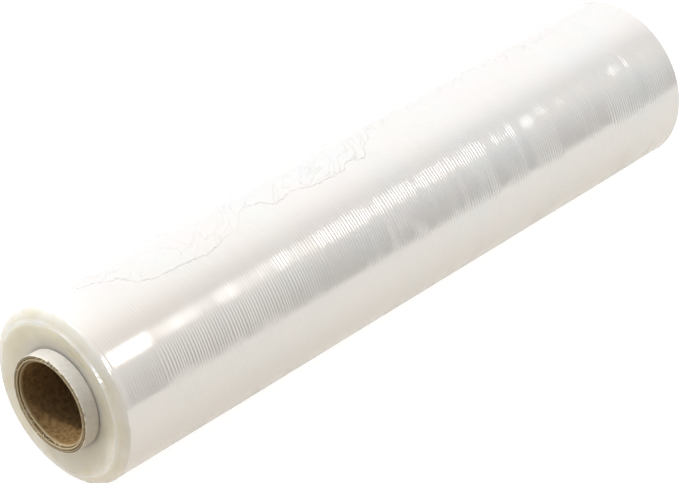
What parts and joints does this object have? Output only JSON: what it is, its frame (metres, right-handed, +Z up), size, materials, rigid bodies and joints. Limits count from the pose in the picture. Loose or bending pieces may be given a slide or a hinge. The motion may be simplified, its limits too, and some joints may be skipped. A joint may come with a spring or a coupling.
{
  "type": "stretch wrap roll",
  "caption": "Roll of clear stretch film wound on a paper core that stands out at both ends, with dished end faces, rounded shoulders and a loose tail, lying on its side.",
  "frame": {"origin": "middle of the bounding box's underside: the flat spot that the roll lies on", "axes": "+X along the roll's axis, +Z up, -Y the side that the camera of the picture sees"},
  "size_m": [0.5114, 0.109, 0.109],
  "materials": {
    "core_board": "matte brown kraft board, spiral wound",
    "core_paper": "smooth white paper ply",
    "stretch_film": "glossy clear film, milky in many turns"
  },
  "bodies": {
    "root": {"core_tube": "core_board", "core_outer_ply": "core_paper", "film_roll": "stretch_film"}
  },
  "joints": []
}
